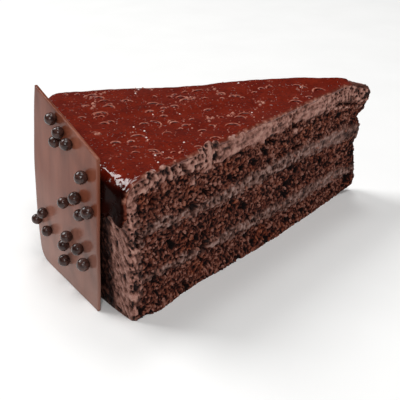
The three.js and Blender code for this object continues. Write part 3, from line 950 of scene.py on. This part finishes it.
# glints are painted: near white bubbles that stand in for highlights
GLINTS = 15  # bubbles that catch the light
FOAM_SPOTS = 9
AWAY = radians(62)  # most crescents bulge this way, along the pour
# rim below PLAIN is painted shade, PALE a painted highlight on a crescent, GLINT a painted glint
PLAIN, PALE, GLINT = 0.4, 0.8, 1.0  # values of the mark rim, which is 0 where it is dark
rng = random.Random(11)


def on_glaze(x, y, lift):
    """A point on top of the glaze, or lift mm above it."""
    flat = Vector((TIP_X - x, y, 0))
    height = FROSTING_TOP + GLAZE + top_rise(Vector((x, y, 0))) - droop(flat.length) + glaze_wave(flat)
    return Vector((x, y, height + lift))


def spot_on_top(margin):
    """A random spot on the top, at least that far from its edges."""
    distance = (TOP_RADIUS - margin) * sqrt(rng.uniform(0.04, 1))
    turn = rng.uniform(-1, 1) * (HALF_ANGLE - (margin + 0.5) / distance)
    return TIP_X - distance * cos(turn), distance * sin(turn)


def add_crescent(middle, radius, facing, span, width):
    slim = bmesh.ops.create_uvsphere(
        foam,
        u_segments=10,
        v_segments=12,
        radius=1,
        matrix=Matrix.Diagonal((width / 2, 0.2 * width, span / 2, 1)),
    )
    for vertex in slim["verts"]:
        outward, lift, turn = vertex.co
        from_end = smooth(abs(turn), span / 2, 0.3 * span)
        # painted highlight on the outside of a crescent, painted shade on its inside
        vertex[rim] = lerp(PLAIN, PALE * smooth(outward / width, -0.4, 0.1), from_end)
        reach = radius + outward
        x = middle[0] + reach * cos(facing + turn) - radius * cos(facing)
        y = middle[1] + reach * sin(facing + turn) - radius * sin(facing)
        vertex.co = on_glaze(x, y, lift)


def add_ball(heap, centre, radius, subdivisions=2, turned=Matrix()):
    matrix = Matrix.Translation(centre) @ turned
    ball = bmesh.ops.create_icosphere(heap, subdivisions=subdivisions, radius=radius, matrix=matrix)
    return ball["verts"]


def add_bubble(spot, radius, paleness):
    for vertex in add_ball(foam, on_glaze(*spot, -0.3 * radius), radius):
        vertex[rim] = paleness


foam = bmesh.new()
rim = foam.verts.layers.float.new("rim")
for _ in range(CRESCENTS):
    radius = 0.7 + 2.0 * rng.random() ** 1.6
    span = rng.uniform(1.8, 3.4)
    add_crescent(spot_on_top(1.2 * radius), radius, rng.gauss(AWAY, 0.35), span, rng.uniform(1.0, 1.5))
for _ in range(BUBBLES):
    add_bubble(spot_on_top(0.5), rng.uniform(0.15, 0.45), rng.uniform(0.42, 0.7))
for _ in range(GLINTS):
    add_bubble(spot_on_top(1.0), rng.uniform(0.25, 0.38), GLINT)
for _ in range(FOAM_SPOTS):
    middle = spot_on_top(2.5)
    for _ in range(6):
        near = [value + rng.gauss(0, 0.9) for value in middle]
        add_bubble(near, rng.uniform(0.35, 0.75), rng.uniform(0.56, 0.8))
print(f"{CRESCENTS} crescents, {BUBBLES} bubbles and {FOAM_SPOTS} patches of foam")


# %% [markdown]
# Glaze is sugar syrup with cocoa and cream: a red brown body under a smooth wet skin, with
# the IOR of syrup. Its mottle, 1 mm wide, stands for froth that is too fine to show. Down
# the side the glaze is painted almost black, a painted shade, and it dried: that part has a
# material of its own with a low IOR, which takes the mirror off it. Bubbles are half air,
# hence paler, the crescents are painted paler as a painted highlight, and both have less of
# a mirror.

# %% Glaze and foam materials
def foam_material():
    material, add, place = new_material("foam of the chocolate glaze")
    mark = add("Attribute", {}, "Fac", attribute_name="rim")
    uneven = add("TexNoise", {"Vector": place, "Scale": per_metre(1.2), "Detail": 2})
    # paler for the air in bubbles and for the painted highlight of crescents
    air_and_highlight = add("ValToRGB", {"Fac": uneven}, stops=((0.35, "#93503f"), (0.6, "#c38a78")))
    # painted shade inside a crescent, rising to plain glaze
    inner_shade = add("ValToRGB", {"Fac": mark}, stops=((0.0, "#2c0804"), (PLAIN, "#741f10")))
    paleness = add("ValToRGB", {"Fac": mark}, stops=((PLAIN, "#000000"), (PALE, "#ffffff")))
    # painted glint: near white where the mark is highest
    glint = add("ValToRGB", {"Fac": mark}, stops=((0.85, "#000000"), (GLINT, "#ffffff")))
    colour = add(inputs={FACTOR: paleness, FIRST: inner_shade, SECOND: air_and_highlight}, **MIX)
    colour = add(inputs={FACTOR: glint, FIRST: colour, SECOND: "#f3e4de"}, **MIX)
    shader = add("BsdfPrincipled", {"Base Color": colour, "Roughness": 0.15, "IOR": 1.25})
    add("OutputMaterial", {"Surface": shader})
    return material


def glaze_material(name, index, roughness):
    material, add, place = new_material(name)
    shadow, edge = [add("Attribute", {}, "Fac", attribute_name=mark) for mark in GLAZE_MARKS]
    clouds = add("TexNoise", {"Vector": place, "Scale": per_metre(7), "Detail": 4})
    froth = add("TexNoise", {"Vector": place, "Scale": per_metre(1), "Detail": 2})
    specks = add("TexVoronoi", {"Vector": place, "Scale": per_metre(1.6)}, feature="SMOOTH_F1")
    body = add("ValToRGB", {"Fac": clouds}, stops=((0.35, "#661709"), (0.65, "#78200d")))
    mottle = add("ValToRGB", {"Fac": froth}, stops=((0.35, "#d9d2d0"), (0.65, "#ffffff")))
    # painted shade: almost black where the glaze turns down the side
    side_shade = add("ValToRGB", {"Fac": clouds}, stops=((0.35, "#100302"), (0.65, "#1f0704")))
    # pale film at the cut, partly a painted highlight of the cut edge
    film_and_highlight = add("ValToRGB", {"Fac": specks}, stops=((0.2, "#a9715f"), (0.5, "#6b3427")))
    bubbles = add("ValToRGB", {"Fac": specks}, stops=((0.05, "#ffffff"), (0.22, "#000000")))
    body = add(inputs={FACTOR: 1.0, FIRST: body, SECOND: mottle}, **MULTIPLY)
    colour = add(inputs={FACTOR: shadow, FIRST: body, SECOND: side_shade}, **MIX)
    colour = add(inputs={FACTOR: edge, FIRST: colour, SECOND: film_and_highlight}, **MIX)
    bump = add("Bump", {"Height": bubbles, "Strength": 0.5, "Distance": 0.3 * MM})
    shader = add(
        "BsdfPrincipled",
        {"Base Color": colour, "Roughness": roughness, "IOR": index, "Normal": bump},
    )
    add("OutputMaterial", {"Surface": shader})
    return material


glaze = glaze_material("poured chocolate glaze", 1.46, 0.09)
dull_glaze = glaze_material("chocolate glaze run down the side", 1.06, 0.2)
poured = finish_piece("glaze_poured", glaze_sheet, glaze, "glaze", "glaze")
finish_piece("glaze_foam", foam, foam_material(), "glaze", "glaze")
poured.data.materials.append(dull_glaze)
ran_down = [mark.value > 0.8 for mark in poured.data.attributes["shadow"].data]
for face in poured.data.polygons:
    face.material_index = int(all(ran_down[vertex] for vertex in face.vertices))

# %% [markdown]
# ## The plaque
#
# The plaque is a sheet of dark chocolate 1 mm thick, spread on foil and cut with a knife,
# so it has a satin face, a sloping top edge and one corner that melted soft. A flat face
# made with one quad could not bow, so the sheet is a bent grid too, and `solidify` gives it
# its thickness. Its material is streaked along its height, as the spatula left it, and the
# streaks also carry painted reflections. It is painted paler towards the foot, a painted
# reflection of the pale floor. The IOR is low, because such a face mirrors far less than a
# moulded one.

# %% Build the plaque
PLAQUE_WIDTH = 39.5
PLAQUE_TALL = 62.0
PLAQUE_SHORT = 51.0
BOW = 3.2  # the tall side bows outwards
CORNER_RADIUS = 4.0
PLAQUE_COLUMNS, PLAQUE_ROWS = 40, 60


def plaque_point(across, up, out=0.0):
    return PLAQUE_FOOT - across * PLAQUE_RIGHT + up * PLAQUE_UP + out * PLAQUE_OUT


def plaque_place(column, row):
    share, height = column / PLAQUE_COLUMNS, row / PLAQUE_ROWS
    up = height * lerp(PLAQUE_SHORT, PLAQUE_TALL, share)
    under_corner = max(CORNER_RADIUS - up, 0)
    rounding = CORNER_RADIUS - sqrt(CORNER_RADIUS**2 - under_corner**2)
    across = share * (PLAQUE_WIDTH + BOW * sin(pi * height) - rounding)
    warp = 0.25 * noise_at(across / 16, up / 16, 2.0)
    return plaque_point(across, up, warp), ()


def plaque_material():
    material, add, place = new_material("set dark chocolate")
    grain = add("Mapping", {"Vector": place, "Scale": (1.0, 1.0, 0.25)})
    streaks = add("TexNoise", {"Vector": grain, "Scale": per_metre(9), "Detail": 4})
    height = add("SeparateXYZ", {"Vector": place}, "Z")
    # painted reflection of the pale floor: paler towards the foot
    floor_reflection = add(
        "MapRange",
        {"Value": height, "From Min": 34 * MM, "From Max": 6 * MM, "To Min": 0.0, "To Max": 0.3},
    )
    # spatula streaks, whose contrast also carries painted reflections
    dark = add("ValToRGB", {"Fac": streaks}, stops=((0.3, "#66301d"), (0.7, "#8f5542")))
    colour = add(inputs={FACTOR: floor_reflection, FIRST: dark, SECOND: "#b9a096"}, **MIX)
    satin = add(
        "MapRange",
        {"Value": streaks, "From Min": 0.3, "From Max": 0.7, "To Min": 0.14, "To Max": 0.26},
    )
    bump = add("Bump", {"Height": streaks, "Strength": 0.35, "Distance": 0.4 * MM})
    shader = add("BsdfPrincipled", {"Base Color": colour, "Roughness": satin, "IOR": 1.23, "Normal": bump})
    add("OutputMaterial", {"Surface": shader})
    return material


plate = bent_grid(PLAQUE_COLUMNS, PLAQUE_ROWS, plaque_place, marks=())
bmesh.ops.recalc_face_normals(plate, faces=plate.faces)
if sum((face.normal for face in plate.faces), Vector()).dot(PLAQUE_OUT) < 0:
    bmesh.ops.reverse_faces(plate, faces=plate.faces)
bmesh.ops.solidify(plate, geom=plate.faces, thickness=PLAQUE_THICKNESS)
bmesh.ops.recalc_face_normals(plate, faces=plate.faces)
plaque = finish_piece("plaque_sheet", plate, plaque_material(), "chocolate", "plaque")
soft_edge = plaque.modifiers.new("soft edge", "BEVEL")
soft_edge.width = 0.2 * MM
soft_edge.segments = 2
soft_edge.limit_method = "ANGLE"
soft_edge.angle_limit = radians(50)

# %% [markdown]
# ## Sugar pearls
#
# The pearls are crisp cereal balls under a polished chocolate coat, dropped on the plaque
# while it was still soft. They lie in loose groups and are never quite round. Each one is
# an icosphere pushed about by a little noise. Polishing gives the coat a fairly sharp
# mirror, and thin spots let the paler cereal through as a mottle.

# %% Build the pearls
PEARL_SINK = 0.3
PEARL_SWELL = 1.05  # the pearls are made this many times the diameters below
PEARL_GROUPS = [  # across from the short side, up from the foot, diameter
    [(25.5, 55.3, 3.7), (21, 52.4, 3.6), (23.7, 48.6, 3.5), (15.8, 50.4, 3.7)],
    [(6.7, 43.3, 3.9)],
    [(10.9, 34.9, 3.9), (19.1, 29.9, 3.5), (8.2, 30.4, 3.6), (3.3, 33.4, 3.8)],
    [(34.6, 19.6, 3.5), (39.2, 15.3, 3.5), (31.6, 14.2, 3.5)],
    [(17.1, 18.9, 3.8), (19.6, 14.6, 3.6), (9.9, 17.9, 3.7), (19, 9.3, 3.8), (6, 14.4, 4)],
]


def pearl_material():
    material, add, place = new_material("polished chocolate coat")
    mottle = add("TexNoise", {"Vector": place, "Scale": per_metre(1.2), "Detail": 3})
    colour = add("ValToRGB", {"Fac": mottle}, stops=((0.35, "#2a1713"), (0.68, "#4f332c")))
    bump = add("Bump", {"Height": mottle, "Strength": 0.3, "Distance": 0.2 * MM})
    shader = add(
        "BsdfPrincipled",
        {"Base Color": colour, "Roughness": 0.24, "IOR": 1.5, "Specular IOR Level": 0.4, "Normal": bump},
    )
    add("OutputMaterial", {"Surface": shader})
    return material


pearls = bmesh.new()
for across, up, diameter in [pearl for group in PEARL_GROUPS for pearl in group]:
    centre = plaque_point(across, up, diameter / 2 - PEARL_SINK)
    for vertex in add_ball(pearls, centre, PEARL_SWELL * diameter / 2, subdivisions=4):
        out = (vertex.co - centre).normalized()
        vertex.co += out * (0.10 * noise.noise(vertex.co / 1.6) + 0.03 * noise.noise(vertex.co / 0.5))
finish_piece("plaque_pearls", pearls, pearl_material(), "chocolate", "plaque")

# %% [markdown]
# ## Loose crumbs
#
# The knife leaves crumbs on the cut, and some drop to the foot of the slice. They are tiny
# icospheres with few faces, squashed and knocked out of shape, each half sunk into the
# surface so that it looks stuck on.

# %% Scatter the crumbs
CRUMB_LIMIT = 0.6  # a pore deeper than this mark holds no crumb
CREAM_SKIP = 0.7  # share of the crumbs on cream that are left out


def crumb_at(heap, centre, size):
    squash = Matrix.Diagonal((*[rng.uniform(0.6, 1.1) for _ in range(3)], 1))
    turn = Matrix.Rotation(rng.uniform(0, tau), 4, Vector([rng.gauss(0, 1) for _ in range(3)]))
    for vertex in add_ball(heap, centre, size / 2, turned=turn @ squash):
        out = (vertex.co - centre).normalized()
        vertex.co += out * 0.45 * size * noise.noise(vertex.co / (0.45 * size))


def scatter_on_cut(heap, side, count):
    for _ in range(count):
        r = rng.uniform(6, CORE_RADIUS)
        base = plan(r, side, 0)
        base.z = rng.uniform(0.5, 40)
        relief, (pit, cream, _) = cut_surface(base, CAKE_RADIUS - r, side)
        if pit > CRUMB_LIMIT or (cream > 0.5 and rng.random() < CREAM_SKIP):
            continue
        crumb_at(heap, base + relief * CUT_OUT[side], rng.uniform(0.5, 1.3))


def scatter_at_foot(heap, side, count):
    for _ in range(count):
        size = rng.uniform(0.5, 1.0)
        base = plan(rng.uniform(20, CORE_RADIUS), side, 0) + rng.uniform(-0.6, 0.2) * CUT_OUT[side]
        base.z = 0.4 * size
        crumb_at(heap, base, size)


crumbs = bmesh.new()
scatter_on_cut(crumbs, -1, 700)
scatter_on_cut(crumbs, 1, 350)
scatter_at_foot(crumbs, -1, 30)
scatter_at_foot(crumbs, 1, 30)
for vertex in crumbs.verts:
    vertex.co.z = max(vertex.co.z, 0)
finish_piece("crumbs_loose", crumbs, sponge, "sponge", "sponge_bottom")

# %% [markdown]
# ## Floor, light and camera
#
# The slice stands on a plain pale floor. One large soft light, the key, stands behind it on
# the left, which is what makes the bubbles of the glaze sparkle and the crumb throw small
# shadows towards us. Another behind on the right draws the far rims of the crescents. One
# beside the camera opens the shadows, and one overhead lights the top and the floor. The
# sky is dim, because glaze seen at a slant mirrors it, and a bright one would turn it grey.

# %% Floor
FLOOR_HALF = 4.0  # metres from its middle to its edge


def floor_material():
    """Board has fibres far too fine to show, so only slow clouds of tone are drawn."""
    material, add, place = new_material("matte white board")
    clouds = add("TexNoise", {"Vector": place, "Scale": per_metre(40), "Detail": 2})
    colour = add("ValToRGB", {"Fac": clouds}, stops=((0.3, "#f7f7f6"), (0.7, "#fafaf9")))
    shader = add("BsdfPrincipled", {"Base Color": colour, "Roughness": 0.7})
    add("OutputMaterial", {"Surface": shader})
    return material


floor_sheet = bmesh.new()
bmesh.ops.create_grid(floor_sheet, x_segments=1, y_segments=1, size=FLOOR_HALF)
floor_mesh = bpy.data.meshes.new("floor")
floor_sheet.to_mesh(floor_mesh)
floor_sheet.free()
floor_mesh.materials.append(floor_material())
floor = bpy.data.objects.new("floor", floor_mesh)
bpy.context.scene.collection.objects.link(floor)
print(f"floor: {2 * FLOOR_HALF:.0f} m wide")


# %% Lights
def soft_light(name, direction, distance, size, power):
    """A square area light that looks at the slice from a direction."""
    light = bpy.data.lights.new(name, "AREA")
    light.size = size
    light.energy = power
    lamp = bpy.data.objects.new(name, light)
    bpy.context.scene.collection.objects.link(lamp)
    lamp.location = Vector(direction).normalized() * distance
    lamp.rotation_euler = Vector(direction).to_track_quat("Z", "Y").to_euler()
    print(f"{name} light: {size} m wide, {power} W, {distance} m away")


soft_light("key", (-0.40, 0.55, 0.74), 1.8, 0.8, 19)
soft_light("back", (0.19, 0.36, 0.91), 2.2, 0.6, 10)
soft_light("fill", (-0.34, -0.78, 0.58), 2.0, 0.5, 12.5)
soft_light("overhead", (0.1, -0.25, 1.0), 2.2, 0.8, 14)

world = bpy.data.worlds.new("studio")
bpy.context.scene.world = world
world.use_nodes = True
sky = world.node_tree.nodes["Background"]
sky.inputs["Color"].default_value = linear("#ffffff")
sky.inputs["Strength"].default_value = 0.05

# %% Camera
CAMERA_PLACE = Vector((-108.4, -187.3, 126.6))
CAMERA_DOWN = radians(28.31)  # how far it looks down
CAMERA_TURN = radians(-27.72)  # how far it is turned from looking along +Y
camera_data = bpy.data.cameras.new("camera")
camera_data.lens = 58.55
camera_data.sensor_width = 36
camera = bpy.data.objects.new("camera", camera_data)
camera.location = CAMERA_PLACE * MM
camera.rotation_euler = (pi / 2 - CAMERA_DOWN, 0, CAMERA_TURN)
bpy.context.scene.collection.objects.link(camera)
bpy.context.scene.camera = camera
bpy.context.scene.view_settings.view_transform = "Standard"
print(f"camera {CAMERA_PLACE.length:.0f} mm away, {degrees(camera_data.angle):.0f} degrees wide")
